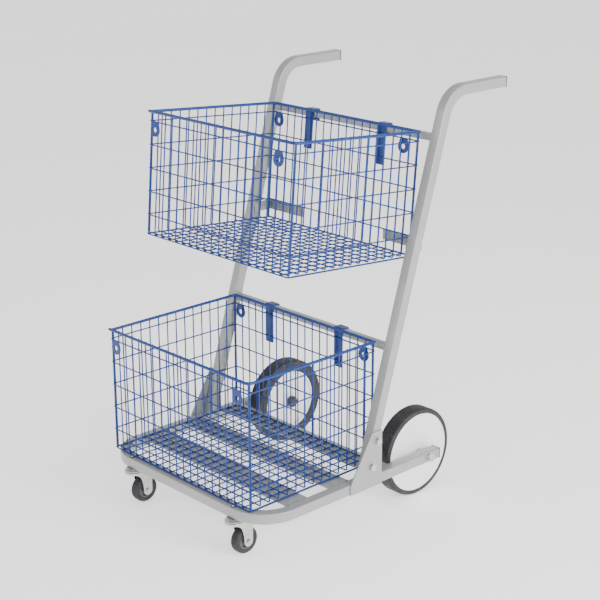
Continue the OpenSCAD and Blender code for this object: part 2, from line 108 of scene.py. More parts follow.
# Basket welds: half sizes of each drop along X, Y and Z
LAP_WELD = (4.0 * MM, 3.6 * MM, 3.8 * MM)
WIRE_END = (2.0 * MM, 2.0 * MM, 2.2 * MM)
STRAP_WELD = (2.4 * MM, 1.8 * MM, 2.4 * MM)
TAB_WELD = (2.6 * MM, 1.7 * MM, 1.6 * MM)
WIRE_END_DOWN = 1.6 * MM

# Castor fork, pressed from sheet: head, legs and the eye round the axle
HEAD_R = 20 * MM
PIN_HOLE_R = 5.1 * MM
LEG_THICK = 2.5 * MM
LEG_OUT_MAX = 17 * MM
EYE_R = 12.4 * MM
RIB_R = 3.4 * MM
RIB_FLAT = 0.3

# Castor tyre
CASTOR_CORE_R = 20 * MM
CASTOR_SHOULDER = 7 * MM
CASTOR_GROOVES = (-4.2 * MM, 0, 4.2 * MM)

# Rear tyre
SHOULDER = 6 * MM
SIDE_LINE = 0.5 * MM
SEAT_DEEP = 3 * MM
SEAT_PLAY = 0.2 * MM
TREAD_LINES = (-0.62, -0.2, 0.2, 0.62)

# Shading and edges
SMOOTH_BELOW = math.radians(38)
BEVEL_ABOVE = math.radians(40)

# Studio: half the floor's side, and the lights as name, place, aim, width and watts
FLOOR_HALF = 14.0
LIGHTS = (
    ("key", (3.2, 0.4, 1.6), (0, 0, 0.45), 1.8, 115),
    ("front_fill", (-1.2, -3.2, 1.6), (0, 0, 0.4), 2.0, 20),
    ("camera_side", (2.6, -1.9, 1.7), (0, 0, 0.5), 0.6, 20),
    ("top", (0, 0.2, 3.6), (0, 0, 0), 2.8, 20),
)


# ---------------------------------------------------------------- mesh helpers

def new_object(name, bm, smooth=True):
    """Mesh object from a bmesh, with outward normals."""
    bmesh.ops.recalc_face_normals(bm, faces=bm.faces)
    mesh = bpy.data.meshes.new(name)
    bm.to_mesh(mesh)
    bm.free()
    obj = bpy.data.objects.new(name, mesh)
    bpy.context.scene.collection.objects.link(obj)
    if smooth:
        mesh.shade_smooth()
        mesh.set_sharp_from_angle(angle=SMOOTH_BELOW)
    return obj


def piece(name, bm, body, material, stands_for=()):
    """A finished visible piece: it rides a body and takes a slot's finish."""
    obj = new_object(name, bm)
    obj.data.materials.append(material)
    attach(obj, body)
    if stands_for:
        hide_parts(*stands_for)
    return obj


def circle_profile(radius, sides=12):
    """Round wire's outline."""
    turns = [2 * math.pi * i / sides for i in range(sides)]
    return [(radius * math.cos(t), radius * math.sin(t)) for t in turns]


def square_profile(size, corner, steps=4):
    """Square tube outline with rounded corners."""
    inner = size / 2 - corner
    points = []
    for quarter in range(4):
        middle = math.radians(45 + 90 * quarter)
        cx = math.copysign(inner, math.cos(middle))
        cy = math.copysign(inner, math.sin(middle))
        for i in range(steps + 1):
            t = math.radians(90 * quarter + 90 * i / steps)
            points.append((cx + corner * math.cos(t), cy + corner * math.sin(t)))
    return points


def rounded(points, radius, steps=6):
    """The polyline with each inner corner replaced by an arc of that radius."""
    points = [Vector(p) for p in points]
    route = [points[0]]
    for before, corner, after in zip(points, points[1:], points[2:]):
        a = (before - corner).normalized()
        b = (after - corner).normalized()
        half = a.angle(b) / 2
        centre = corner + (a + b).normalized() * radius / math.sin(half)
        start = corner + a * radius / math.tan(half) - centre
        end = corner + b * radius / math.tan(half) - centre
        sweep = start.angle(end)
        for i in range(steps + 1):
            k = i / steps
            turned = start * math.sin((1 - k) * sweep) + end * math.sin(k * sweep)
            route.append(centre + turned / math.sin(sweep))
    return route + [points[-1]]


def loop_corners(points, radius, steps=5):
    """Closed version of rounded(), from the middle of the first side."""
    points = [Vector(p) for p in points]
    middle = (points[0] + points[-1]) / 2
    return rounded([middle] + points + [middle], radius, steps)


def sweep(bm, path, profile, up, swell=None, start_plane=None, place=Matrix()):
    """Tube along a flat path. up is square to the path's plane; swell scales each section.
    start_plane is the normal of the first cut where it isn't square."""
    up = Vector(up).normalized()
    path = [Vector(p) for p in path]
    rows = []
    for i, point in enumerate(path):
        back = (point - path[i - 1]).normalized() if i else None
        ahead = (path[i + 1] - point).normalized() if i + 1 < len(path) else None
        along = ahead if back is None else back if ahead is None else (back + ahead).normalized()
        side = up.cross(ahead if back is None else back)
        cut = up.cross(along)
        if start_plane and i == 0:
            cut = up.cross(Vector(start_plane)).normalized()
        cut = cut / cut.dot(side)
        scale = swell[i] if swell else 1
        rows.append([bm.verts.new(place @ (point + (cut * a + up * b) * scale))
                     for a, b in profile])
    count = len(profile)
    for row, following in zip(rows, rows[1:]):
        for j in range(count):
            k = (j + 1) % count
            bm.faces.new((row[j], row[k], following[k], following[j]))
    bm.faces.new(rows[0])
    bm.faces.new(rows[-1][::-1])


def wire(bm, path, diameter, up, place=Matrix(), sides=12):
    """Round wire with domed ends."""
    path = [Vector(p) for p in path]
    radius = diameter / 2
    dome = [math.radians(a) for a in (80, 55, 28)]
    first = (path[0] - path[1]).normalized()
    last = (path[-1] - path[-2]).normalized()
    start = [path[0] + first * radius * math.sin(a) for a in dome]
    end = [path[-1] + last * radius * math.sin(a) for a in reversed(dome)]
    sizes = [math.cos(a) for a in dome]
    sweep(bm, start + path + end, circle_profile(radius, sides), up,
          swell=sizes + [1] * len(path) + sizes[::-1], place=place)


def closed_wire(bm, path, diameter, up, place=Matrix(), sides=12):
    """Round wire whose two ends are butt-welded, with the small upset ring of the weld."""
    wire(bm, path, diameter, up, place, sides)
    along = (path[1] - path[0]).normalized()
    bead = [path[0] + along * k * MM for k in (-1.6, -0.8, 0, 0.8, 1.6)]
    sweep(bm, bead, circle_profile(diameter / 2, sides), up, swell=[1, 1.13, 1.2, 1.13, 1],
          place=place)


def blob(bm, centre, size, place=Matrix()):
    """Low rounded drop of weld or paint, with different sizes along X, Y and Z."""
    shape = place @ Matrix.Translation(centre) @ Matrix.Diagonal((*size, 1))
    bmesh.ops.create_icosphere(bm, subdivisions=2, radius=1, matrix=shape)


def weld(bm, start, end, radius=2.0 * MM, ripple=2.2 * MM):
    """Rippled weld bead along a straight seam."""
    start, end = Vector(start), Vector(end)
    length = (end - start).length
    count = max(4, round(length / ripple * 4))
    along = (end - start).normalized()
    up = along.orthogonal().normalized()
    path = [start.lerp(end, i / count) for i in range(count + 1)]
    ripples = [0.86 + 0.14 * abs(math.sin(math.pi * i / 4)) for i in range(1, count)]
    sweep(bm, path, circle_profile(radius, 8), up, swell=[0.35] + ripples + [0.35])


def lathe(bm, outline, place=Matrix(), steps=96):
    """Closed outline of (radius, height) points turned about Z, then placed."""
    rings = []
    for i in range(steps):
        turn = Matrix.Rotation(2 * math.pi * i / steps, 4, "Z")
        rings.append([bm.verts.new(place @ turn @ Vector((r, 0, z))) for r, z in outline])
    count = len(outline)
    for i in range(steps):
        ring, following = rings[i], rings[(i + 1) % steps]
        for j in range(count):
            k = (j + 1) % count
            bm.faces.new((ring[j], ring[k], following[k], following[j]))


def arc(cx, cy, radius, start, end, steps=6):
    """Points on an arc in a flat outline; angles in degrees."""
    angles = [math.radians(start + (end - start) * i / steps) for i in range(steps + 1)]
    return [(cx + radius * math.cos(a), cy + radius * math.sin(a)) for a in angles]


def centre_of(node):
    """Middle of a CAD node's box."""
    low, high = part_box(node)
    return (Vector(low) + Vector(high)) / 2


def spread(count, low, high):
    """Ends and inner points of count equal spaces."""
    return [low + (high - low) * i / count for i in range(count + 1)]


# ---------------------------------------------------------------- materials

class Nodes:
    """Short names for building one material's node tree."""

    def __init__(self, name):
        self.material = bpy.data.materials.new(name)
        self.material.use_nodes = True
        self.tree = self.material.node_tree
        self.shader = self.tree.nodes["Principled BSDF"]
        self.place = self.add("ShaderNodeTexCoord").outputs["Object"]

    def add(self, kind, **settings):
        made = self.tree.nodes.new(kind)
        for key, value in settings.items():
            if hasattr(made, key):
                setattr(made, key, value)
            else:
                made.inputs[key.replace("_", " ")].default_value = value
        return made

    def link(self, source, target):
        self.tree.links.new(source, target)

    def noise(self, scale, detail=3.0, roughness=0.55, stretch=(1, 1, 1)):
        """Noise value at so many cycles per metre, stretched along the axes."""
        mapping = self.add("ShaderNodeMapping")
        mapping.inputs["Scale"].default_value = [scale * k for k in stretch]
        self.link(self.place, mapping.inputs["Vector"])
        made = self.add("ShaderNodeTexNoise", Scale=1.0, Detail=detail, Roughness=roughness)
        self.link(mapping.outputs["Vector"], made.inputs["Vector"])
        return made.outputs["Fac"]

    def span(self, value, from_low, from_high, to_low, to_high):
        """value mapped from one range to another, clamped."""
        made = self.add("ShaderNodeMapRange", clamp=True)
        for socket, number in zip(("From Min", "From Max", "To Min", "To Max"),
                                  (from_low, from_high, to_low, to_high)):
            made.inputs[socket].default_value = number
        self.link(value, made.inputs["Value"])
        return made.outputs["Result"]

    def mix(self, factor, low, high):
        """Colour between low and high; each is a colour or a socket."""
        made = self.add("ShaderNodeMix", data_type="RGBA")
        self.link(factor, made.inputs["Factor"])
        for socket, colour in ((made.inputs[6], low), (made.inputs[7], high)):
            if isinstance(colour, (tuple, list)):
                socket.default_value = (*colour, 1)
            else:
                self.link(colour, socket)
        return made.outputs[2]

    def bump(self, height, strength, distance, under=None):
        """Normal raised by a height value, over another normal if there is one."""
        made = self.add("ShaderNodeBump", Strength=strength, Distance=distance)
        self.link(height, made.inputs["Height"])
        if under:
            self.link(under, made.inputs["Normal"])
        return made.outputs["Normal"]

    def finish(self, colour, roughness, normal, metallic=0.0, coat=0.0, coat_roughness=0.1,
               specular=0.5):
        """Wires up the shader and returns the material."""
        self.link(colour, self.shader.inputs["Base Color"])
        self.link(roughness, self.shader.inputs["Roughness"])
        self.link(normal, self.shader.inputs["Normal"])
        self.shader.inputs["Metallic"].default_value = metallic
        self.shader.inputs["Coat Weight"].default_value = coat
        self.shader.inputs["Coat Roughness"].default_value = coat_roughness
        self.shader.inputs["Specular IOR Level"].default_value = specular
        return self.material


def scaled(colour, factor):
    return tuple(min(1.0, c * factor) for c in colour)


def frame_paint():
    """Silver-grey powder coat: fine metallic fleck, orange peel, faint scuffs."""
    n = Nodes("frame_silver")
    grey = (0.31, 0.32, 0.31)
    patches = n.span(n.noise(9, 4), 0.35, 0.65, 0, 1)
    fleck = n.span(n.noise(2600, 1), 0.35, 0.7, 0, 1)
    scuffs = n.span(n.noise(60, 6, 0.7, (1, 0.2, 1)), 0.62, 0.72, 0, 1)
    base = n.mix(patches, scaled(grey, 0.95), scaled(grey, 1.04))
    base = n.mix(n.span(fleck, 0, 1, 0, 0.35), base, scaled(grey, 1.25))
    base = n.mix(n.span(scuffs, 0, 1, 0, 0.25), base, scaled(grey, 0.75))
    rough = n.span(n.noise(40, 5), 0.3, 0.7, 0.36, 0.48)
    peel = n.bump(n.noise(420, 2), 0.16, 0.0006)
    sparkle = n.bump(n.noise(2600, 1), 0.08, 0.0001, peel)
    return n.finish(base, rough, sparkle, metallic=0.25, coat=0.6, coat_roughness=0.14)


def basket_paint():
    """Royal-blue epoxy over wire: semi-gloss, a little deeper where it pooled."""
    n = Nodes("basket_blue")
    blue = (0.006, 0.037, 0.205)
    pooled = n.span(n.noise(55, 4), 0.35, 0.7, 0, 1)
    base = n.mix(pooled, scaled(blue, 0.82), scaled(blue, 1.18))
    rub = n.span(n.noise(190, 5, 0.7), 0.66, 0.76, 0, 0.3)
    base = n.mix(rub, base, (0.03, 0.08, 0.28))
    rough = n.span(n.noise(120, 3), 0.3, 0.7, 0.30, 0.44)
    runs = n.bump(n.noise(520, 2), 0.22, 0.0004)
    return n.finish(base, rough, runs, coat=0.1, coat_roughness=0.2, specular=0.35)


def zinc_plate(name="zinc", tone=(0.56, 0.57, 0.56), rough_low=0.12, rough_high=0.26):
    """Bright zinc: faint drawn lines, cloudy passivation and small dull spots."""
    n = Nodes(name)
    clouds = n.span(n.noise(70, 5), 0.3, 0.7, 0, 1)
    warm = n.span(n.noise(38, 3), 0.5, 0.75, 0, 0.5)
    base = n.mix(clouds, scaled(tone, 0.88), scaled(tone, 1.08))
    base = n.mix(warm, base, (0.55, 0.53, 0.44))
    drawn = n.noise(900, 2, 0.5, (1, 1, 0.06))
    rough = n.span(n.noise(300, 5), 0.3, 0.7, rough_low, rough_high)
    return n.finish(base, rough, n.bump(drawn, 0.10, 0.0002), metallic=1.0)


def moulded_plastic(name, colour, rough_low, rough_high, grain=1500, strength=0.15):
    """Moulded plastic with fine texture and a little handling shine."""
    n = Nodes(name)
    patches = n.span(n.noise(30, 4), 0.35, 0.65, 0, 1)
    base = n.mix(patches, scaled(colour, 0.9), scaled(colour, 1.08))
    rough = n.span(n.noise(90, 4), 0.3, 0.7, rough_low, rough_high)
    return n.finish(base, rough, n.bump(n.noise(grain, 2), strength, 0.0002))


def wheel_plastic():
    """White wheel plastic: faint moulding grain, grey dust in patches."""
    n = Nodes("wheel_white")
    white = (0.90, 0.90, 0.90)
    dust = n.span(n.noise(24, 6, 0.65), 0.5, 0.8, 0, 0.45)
    specks = n.span(n.noise(420, 3), 0.68, 0.74, 0, 0.35)
    base = n.mix(dust, white, (0.70, 0.70, 0.68))
    base = n.mix(specks, base, (0.45, 0.45, 0.44))
    rough = n.span(n.noise(60, 4), 0.3, 0.7, 0.26, 0.42)
    marks = n.bump(n.noise(700, 2), 0.06, 0.0002)
    return n.finish(base, rough, marks, coat=0.12, coat_roughness=0.2)


def rubber(name, colour, dusty, grain=1100):
    """Solid rubber: matt, with dust and fine scuffs on the tread."""
    n = Nodes(name)
    dust = n.span(n.noise(50, 6, 0.7), 0.45, 0.75, 0, 0.55)
    scuffs = n.span(n.noise(260, 5, 0.7, (0.25, 1, 1)), 0.60, 0.72, 0, 0.5)
    base = n.mix(dust, colour, dusty)
    base = n.mix(scuffs, base, scaled(dusty, 1.5))
    rough = n.span(n.noise(80, 4), 0.3, 0.7, 0.45, 0.68)
    fine = n.bump(n.noise(grain, 3), 0.3, 0.0003)
    return n.finish(base, rough, n.bump(n.noise(160, 4), 0.15, 0.0005, fine), specular=0.4)


MATERIALS = {
    "frame_silver": frame_paint(),
    "basket_blue": basket_paint(),
    "zinc": zinc_plate(),
    "bearing_steel": zinc_plate("bearing_steel", (0.74, 0.75, 0.76), 0.08, 0.16),
    "black_plastic": moulded_plastic("black_plastic", (0.022, 0.022, 0.024), 0.38, 0.55),
    "castor_plastic": moulded_plastic("castor_plastic", (0.10, 0.10, 0.11), 0.35, 0.5),
    "bush_plastic": moulded_plastic("bush_plastic", (0.55, 0.51, 0.42), 0.3, 0.45),
    "wheel_white": wheel_plastic(),
    "castor_rubber": rubber("castor_rubber", (0.022, 0.022, 0.026), (0.055, 0.055, 0.06)),
    "rear_rubber": rubber("rear_rubber", (0.018, 0.018, 0.021), (0.05, 0.05, 0.055)),
}
SLOT_OF = {row["node"]: row["material_slot"] for row in frame["record"]["subparts"]}


def dress_cad_nodes():
    """Every CAD node gets its slot's material, and those with plain hard edges a small bevel."""
    softened = {
        "deck_slat_front": 0.6, "deck_slat_middle": 0.6, "deck_slat_rear": 0.6,
        "gusset_plate_left": 0.5, "gusset_plate_right": 0.5, "gusset_bolts": 0.5,
        "rest_bracket_left": 0.6, "rest_bracket_right": 0.6, "castor_kingpins": 0.6,
        "castor_axle_left": 0.5, "castor_axle_right": 0.5, "rear_axle_bolts": 0.7,
        "arm_end_plugs": 1.2, "handle_end_plugs": 1.2,
        "lower_hook_left": 0.7, "lower_hook_right": 0.7,
        "upper_hook_left": 0.7, "upper_hook_right": 0.7,
        "lower_eyelet_tabs": 0.5, "upper_eyelet_tabs": 0.5,
    }
    for name, obj in nodes.items():
        material = MATERIALS[SLOT_OF[name]]
        obj.data.materials.clear()
        obj.data.materials.append(material)
        if name in softened:
            bevel = obj.modifiers.new("edges", "BEVEL")
            bevel.width = softened[name] * MM
            bevel.segments = 3
            bevel.limit_method = "ANGLE"
            bevel.angle_limit = BEVEL_ABOVE
            bevel.harden_normals = False


dress_cad_nodes()

# ---------------------------------------------------------------- frame

base_low, base_high = (Vector(c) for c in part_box("base_frame"))
upright_low, upright_high = (Vector(c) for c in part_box("upright_right"))
TUBE = base_high.z - base_low.z
half = TUBE / 2
side_x = base_high.x - half
base_z = (base_low.z + base_high.z) / 2


def frame_tubes():
    """Base, uprights and cross bars as bent square tube with rounded corners."""
    silver = MATERIALS["frame_silver"]
    tube = square_profile(TUBE, TUBE_CORNER)
    bm = bmesh.new()
    front_y = base_low.y + half
    corners = [(-side_x, base_high.y, base_z), (-side_x, front_y, base_z),
               (side_x, front_y, base_z), (side_x, base_high.y, base_z)]
    sweep(bm, rounded(corners, BASE_BEND, 20), tube, (0, 0, 1))
    piece("base_tube", bm, "frame", silver, ["base_frame"])

    grip_z = upright_high.z - half
    foot_y = upright_low.y + half / math.cos(LEAN)
    corner_y = foot_y + math.tan(LEAN) * (grip_z - base_high.z)
    for name, sign in (("left", -1), ("right", 1)):
        bm = bmesh.new()
        x = sign * side_x
        route = [(x, foot_y, base_high.z), (x, corner_y, grip_z), (x, upright_high.y, grip_z)]
        sweep(bm, rounded(route, GRIP_BEND, 18), tube, (1, 0, 0), start_plane=(0, 0, 1))
        piece(f"upright_tube_{name}", bm, "frame", silver, [f"upright_{name}"])

    for bar in ("upper_cross_bar", "lower_cross_bar"):
        low, high = (Vector(c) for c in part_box(bar))
        middle = (low + high) / 2
        bm = bmesh.new()
        sweep(bm, [(low.x, middle.y, middle.z), (high.x, middle.y, middle.z)],
              square_profile(high.z - low.z, BAR_CORNER), (0, 0, 1))
        piece(f"{bar}_tube", bm, "frame", silver, [bar])


def frame_welds():
    """Weld beads where slats, bars, brackets and gusset plates meet the tubes."""
    bm = bmesh.new()
    inner_x = side_x - half
    for slat in ("front", "middle", "rear"):
        low, high = (Vector(c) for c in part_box(f"deck_slat_{slat}"))
        for x in (-inner_x, inner_x):
            for y in (low.y + SLAT_BEAD_IN, high.y - SLAT_BEAD_IN - SLAT_BEAD_LONG):
                weld(bm, (x, y, low.z), (x, y + SLAT_BEAD_LONG, low.z), SLAT_BEAD)
    for bar in ("upper_cross_bar", "lower_cross_bar"):
        low, high = (Vector(c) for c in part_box(bar))
        for x in (-inner_x, inner_x):
            for z in (low.z, high.z):
                weld(bm, (x, low.y + 1 * MM, z), (x, high.y - 1 * MM, z), BAR_BEAD)
            weld(bm, (x, low.y, low.z + 1 * MM), (x, low.y, high.z - 1 * MM), BAR_FRONT_BEAD)
    for name, sign in (("left", -1), ("right", 1)):
        low, high = (Vector(c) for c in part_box(f"gusset_plate_{name}"))
        x = sign * (side_x + half)
        for y in (low.y + 2 * MM, high.y):
            weld(bm, (x, y, base_low.z + GUSSET_BEAD_SHORT),
                 (x, y, base_high.z - GUSSET_BEAD_SHORT), GUSSET_BEAD)
        low, high = (Vector(c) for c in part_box(f"rest_bracket_{name}"))
        x = sign * inner_x
        weld(bm, (x, low.y + 2 * MM, high.z), (x, low.y + 16 * MM, high.z), BAR_BEAD)
        foot = upright_low.y
        for y in (foot, foot + TUBE / math.cos(LEAN)):
            weld(bm, (sign * (side_x - half) + sign * 2 * MM, y, base_high.z),
                 (sign * (side_x + half) - sign * 2 * MM, y, base_high.z), SLAT_BEAD)
    piece("frame_weld_beads", bm, "frame", MATERIALS["frame_silver"])


frame_tubes()
frame_welds()

# ---------------------------------------------------------------- baskets


def basket_place(tier):
    """Width and depth of the basket, and the matrix from its own frame to the trolley's.
    The basket's own frame has X centred, Y from its front and Z from its floor."""
    low, high = (Vector(c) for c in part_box(f"{tier}_basket_floor"))
    tilt = UPPER_TILT if tier == "upper" else 0
    height = BASKET_H[tier]
    width = high.x - low.x + 2 * LAYER
    depth = round((high.y - low.y - WIRE * math.sin(tilt)) / math.cos(tilt) + 2 * LAYER, 4)
    pivot = Vector(((low.x + high.x) / 2,
                    high.y + LAYER * math.cos(tilt) + (height - WIRE) * math.sin(tilt),
                    low.z + height * math.cos(tilt) - LAYER * math.sin(tilt)))
    place = (Matrix.Translation(pivot) @ Matrix.Rotation(-tilt, 4, "X")
             @ Matrix.Translation((0, -depth, -height)))
    return width, depth, place


def basket(tier):
    """One welded wire basket: U-shaped wires both ways, ring wires outside them, two rim rods,
    and the drops of weld that hold them, the straps and the tabs."""
    width, depth, place = basket_place(tier)
    height = BASKET_H[tier]
    body = f"{tier}_basket"
    blue = MATERIALS["basket_blue"]
    edge = WIRE / 2
    top = height - RIM / 2
    near, far = UPRIGHT_IN, depth - UPRIGHT_IN
    side = width / 2 - UPRIGHT_IN
    wires_x = spread(CELLS_X, -side, side)
    wires_y = spread(CELLS_Y, SIDE_START, depth - SIDE_START)

    bm = bmesh.new()
    for x in wires_x:
        route = [(x, near, top), (x, near, edge), (x, far, edge), (x, far, top)]
        wire(bm, rounded(route, FLOOR_BEND), WIRE, (1, 0, 0), place)
    piece(f"{tier}_long_wires", bm, body, blue,
          [f"{tier}_basket_front", f"{tier}_basket_back"])

    bm = bmesh.new()
    for y in wires_y:
        route = [(-side, y, top), (-side, y, 3 * edge), (side, y, 3 * edge), (side, y, top)]
        wire(bm, rounded(route, FLOOR_BEND), WIRE, (0, 1, 0), place)
    piece(f"{tier}_cross_wires", bm, body, blue,
          [f"{tier}_basket_left", f"{tier}_basket_right", f"{tier}_basket_floor"])

    bm = bmesh.new()
    inset = RING / 2
    pitch = (height - FIRST_RING) / RING_SPACES
    ring_x = width / 2 - inset
    levels = [(height - FIRST_RING - i * pitch, inset) for i in range(RINGS)]
    # The ring round the floor: at the front and back it is further in, against the long wires'
    # bends; at the sides it lies beside the outermost long wires
    levels.append((inset, inset + FLOOR_RING_IN))
    for z, front in levels:
        corners = [(-ring_x, front, z), (-ring_x, depth - front, z),
                   (ring_x, depth - front, z), (ring_x, front, z)]
        closed_wire(bm, loop_corners(corners, RING_BEND), RING, (0, 0, 1), place)
    piece(f"{tier}_ring_wires", bm, body, blue)

    bm = bmesh.new()
    half_rim = RIM / 2
    z = height - half_rim
    rod_x = width / 2 - half_rim
    front, back = half_rim, depth - half_rim
    front_rod = [(-width / 2 - RIM_PAST + half_rim, front, z), (rod_x, front, z),
                 (rod_x, back - RIM_LAP, z)]
    back_rod = [(rod_x, back, z), (-rod_x, back, z), (-rod_x, front + RIM_LAP, z)]
    for rod in (front_rod, back_rod):
        wire(bm, rounded(rod, RIM_BEND, 8), RIM, (0, 0, 1), place, 18)
    for x, y in ((-rod_x, front + RIM_LAP), (rod_x, back - RIM_LAP)):
        blob(bm, (x, y, z), LAP_WELD, place)
    piece(f"{tier}_rim_rods", bm, body, blue, [f"{tier}_basket_rim"])

    # Ends of the wires, ground down where they are welded to the inside of the rim
    bm = bmesh.new()
    end = RIM - WIRE_END_DOWN
    for x in wires_x:
        for y in (end, depth - end):
            blob(bm, (x, y, height - WIRE_END_DOWN), WIRE_END, place)
    for y in wires_y:
        for x in (-width / 2 + end, width / 2 - end):
            blob(bm, (x, y, height - WIRE_END_DOWN), WIRE_END, place)
    piece(f"{tier}_rim_nuggets", bm, body, blue)

    # Welds that hold the hook straps and the eyelet tabs to the ring wires
    bm = bmesh.new()
    for sign in (-1, 1):
        for dx in (-STRAP_W / 2, STRAP_W / 2):
            for i in range(2):
                z = height - FIRST_RING - i * pitch
                blob(bm, (sign * STRAP_X + dx, depth, z), STRAP_WELD, place)
    cell = (width - 2 * (LAYER + edge)) / CELLS_X
    z = height - FIRST_RING - inset
    for y in (inset, depth - inset):
        for x in (-width / 2 + TAB_LEFT_IN, width / 2 - TAB_RIGHT_CELLS[tier] * cell):
            for dx in (-TAB_WELD_X, TAB_WELD_X):
                blob(bm, (x + dx, y, z), TAB_WELD, place)
    piece(f"{tier}_small_welds", bm, body, blue)


for tier in ("lower", "upper"):
    basket(tier)

# ---------------------------------------------------------------- castors


def castor(side):
    """Pressed fork with ribbed legs, and a grooved tyre, over the CAD bearing and axle."""
    pin = centre_of(f"castor_balls_{side}")
    axle = centre_of(f"castor_tyre_{side}")
    tyre_low, tyre_high = (Vector(c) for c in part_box(f"castor_tyre_{side}"))
    fork_high = Vector(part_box(f"castor_fork_{side}")[1])
    radius = (tyre_high.z - tyre_low.z) / 2
    width = tyre_high.x - tyre_low.x
    body, wheel_body = f"castor_{side}", f"castor_wheel_{side}"
    zinc = MATERIALS["zinc"]

    bm = bmesh.new()
    head_top = fork_high.z
    outline = [(PIN_HOLE_R, 0), (14 * MM, 0), (15.5 * MM, -1.0 * MM), (HEAD_R - 2 * MM, -0.4 * MM)]
    outline += arc(HEAD_R - 1.6 * MM, -2 * MM, 1.6 * MM, 80, 0, 4)
    outline += [(HEAD_R, -6.2 * MM), (HEAD_R - 1.2 * MM, -7 * MM), (HEAD_R - 2.4 * MM, -6.2 * MM),
                (HEAD_R - 2.6 * MM, -3.4 * MM), (PIN_HOLE_R, -3.4 * MM)]
    lathe(bm, outline, Matrix.Translation((pin.x, pin.y, head_top)), 72)
    wide = min(fork_high.x - pin.x, LEG_OUT_MAX)
    for sign in (-1, 1):
        fork_leg(bm, pin, axle, head_top, sign, wide - LEG_THICK)
    # Crown between the legs, behind the head
    crown = [(6, -6), (40.5, -6), (41.6, -5), (41.6, -4), (40.5, -3), (6, -3)]
    extrude_x(bm, [(pin.y + y * MM, head_top + z * MM) for y, z in crown],
              pin.x - wide + 1 * MM, pin.x + wide - 1 * MM)
    piece(f"castor_pressed_fork_{side}", bm, body, zinc, [f"castor_fork_{side}"])

    bm = bmesh.new()
    core = CASTOR_CORE_R
    side_r = radius - CASTOR_SHOULDER
    half_w = width / 2
    tread = [(core, -half_w + 1.2 * MM), (core + 2 * MM, -half_w), (side_r, -half_w)]
    tread += arc(side_r, -half_w + CASTOR_SHOULDER, CASTOR_SHOULDER, -90, -30, 6)
    for groove in CASTOR_GROOVES:
        tread += [(radius - 0.25 * MM, groove - 0.9 * MM), (radius - 1.1 * MM, groove - 0.5 * MM),
                  (radius - 1.1 * MM, groove + 0.5 * MM), (radius - 0.25 * MM, groove + 0.9 * MM)]
    tread += arc(side_r, half_w - CASTOR_SHOULDER, CASTOR_SHOULDER, 30, 90, 6)
    tread += [(core + 2 * MM, half_w), (core, half_w - 1.2 * MM)]
    turn = Matrix.Translation(axle) @ Matrix.Rotation(math.radians(90), 4, "Y")
    lathe(bm, tread, turn, 96)
    piece(f"castor_grooved_tyre_{side}", bm, wheel_body,
          MATERIALS["castor_rubber"], [f"castor_tyre_{side}"])


def extrude_x(bm, outline, x0, x1):
    """Flat (y, z) outline given a thickness along X."""
    first = [bm.verts.new((x0, y, z)) for y, z in outline]
    second = [bm.verts.new((x1, y, z)) for y, z in outline]
    bm.faces.new(first)
    bm.faces.new(second[::-1])
    for i in range(len(outline)):
        j = (i + 1) % len(outline)
        bm.faces.new((first[i], first[j], second[j], second[i]))


def fork_leg(bm, pin, axle, head_top, sign, leg_in):
    """One pressed leg: it sweeps back from the head to a round eye and has a raised rib."""
    front = [(-10, -3), (-8, -7), (-1, -9.5), (5.5, -14),
             (10, -20), (13.2, -28), (15.4, -38), (16.8, -48)]
    outline = [(pin.y + y * MM, head_top + z * MM) for y, z in front]
    outline += arc(axle.y, axle.z, EYE_R, 176, 360, 20)
    back = axle.y + EYE_R
    outline += [(back, head_top - 7 * MM), (back - 1.2 * MM, head_top - 4 * MM),
                (back - 3.5 * MM, head_top - 3 * MM)]
    outer = pin.x + sign * (leg_in + LEG_THICK)
    inner = pin.x + sign * leg_in
    # The outer face is a little smaller, so that its edge is rounded
    middle_y, middle_z = (axle.y + pin.y) / 2 + 8 * MM, (axle.z + head_top) / 2
    lip = [(middle_y + (y - middle_y) * 0.965, middle_z + (z - middle_z) * 0.985)
           for y, z in outline]
    step = sign * 0.6 * MM
    rings = [[bm.verts.new((x, y, z)) for y, z in shape]
             for x, shape in ((inner, outline), (outer - step, outline), (outer, lip))]
    for ring, following in zip(rings, rings[1:]):
        for i in range(len(ring)):
            j = (i + 1) % len(ring)
            bm.faces.new((ring[i], ring[j], following[j], following[i]))
    bm.faces.new(rings[0])
    bm.faces.new(rings[-1][::-1])
    top = Vector((outer, axle.y - 5 * MM, head_top - 9 * MM))
    foot = Vector((outer, axle.y - 1 * MM, axle.z + 14 * MM))
    rib = [top.lerp(foot, k) for k in (0.0, 0.12, 0.4, 0.7, 0.9, 1.0)]
    sweep(bm, rib, [(a, b * RIB_FLAT) for a, b in circle_profile(RIB_R, 16)], (1, 0, 0),
          swell=[0.15, 0.8, 1, 0.9, 0.6, 0.1])


for side in ("left", "right"):
    castor(side)

# ---------------------------------------------------------------- rear wheels


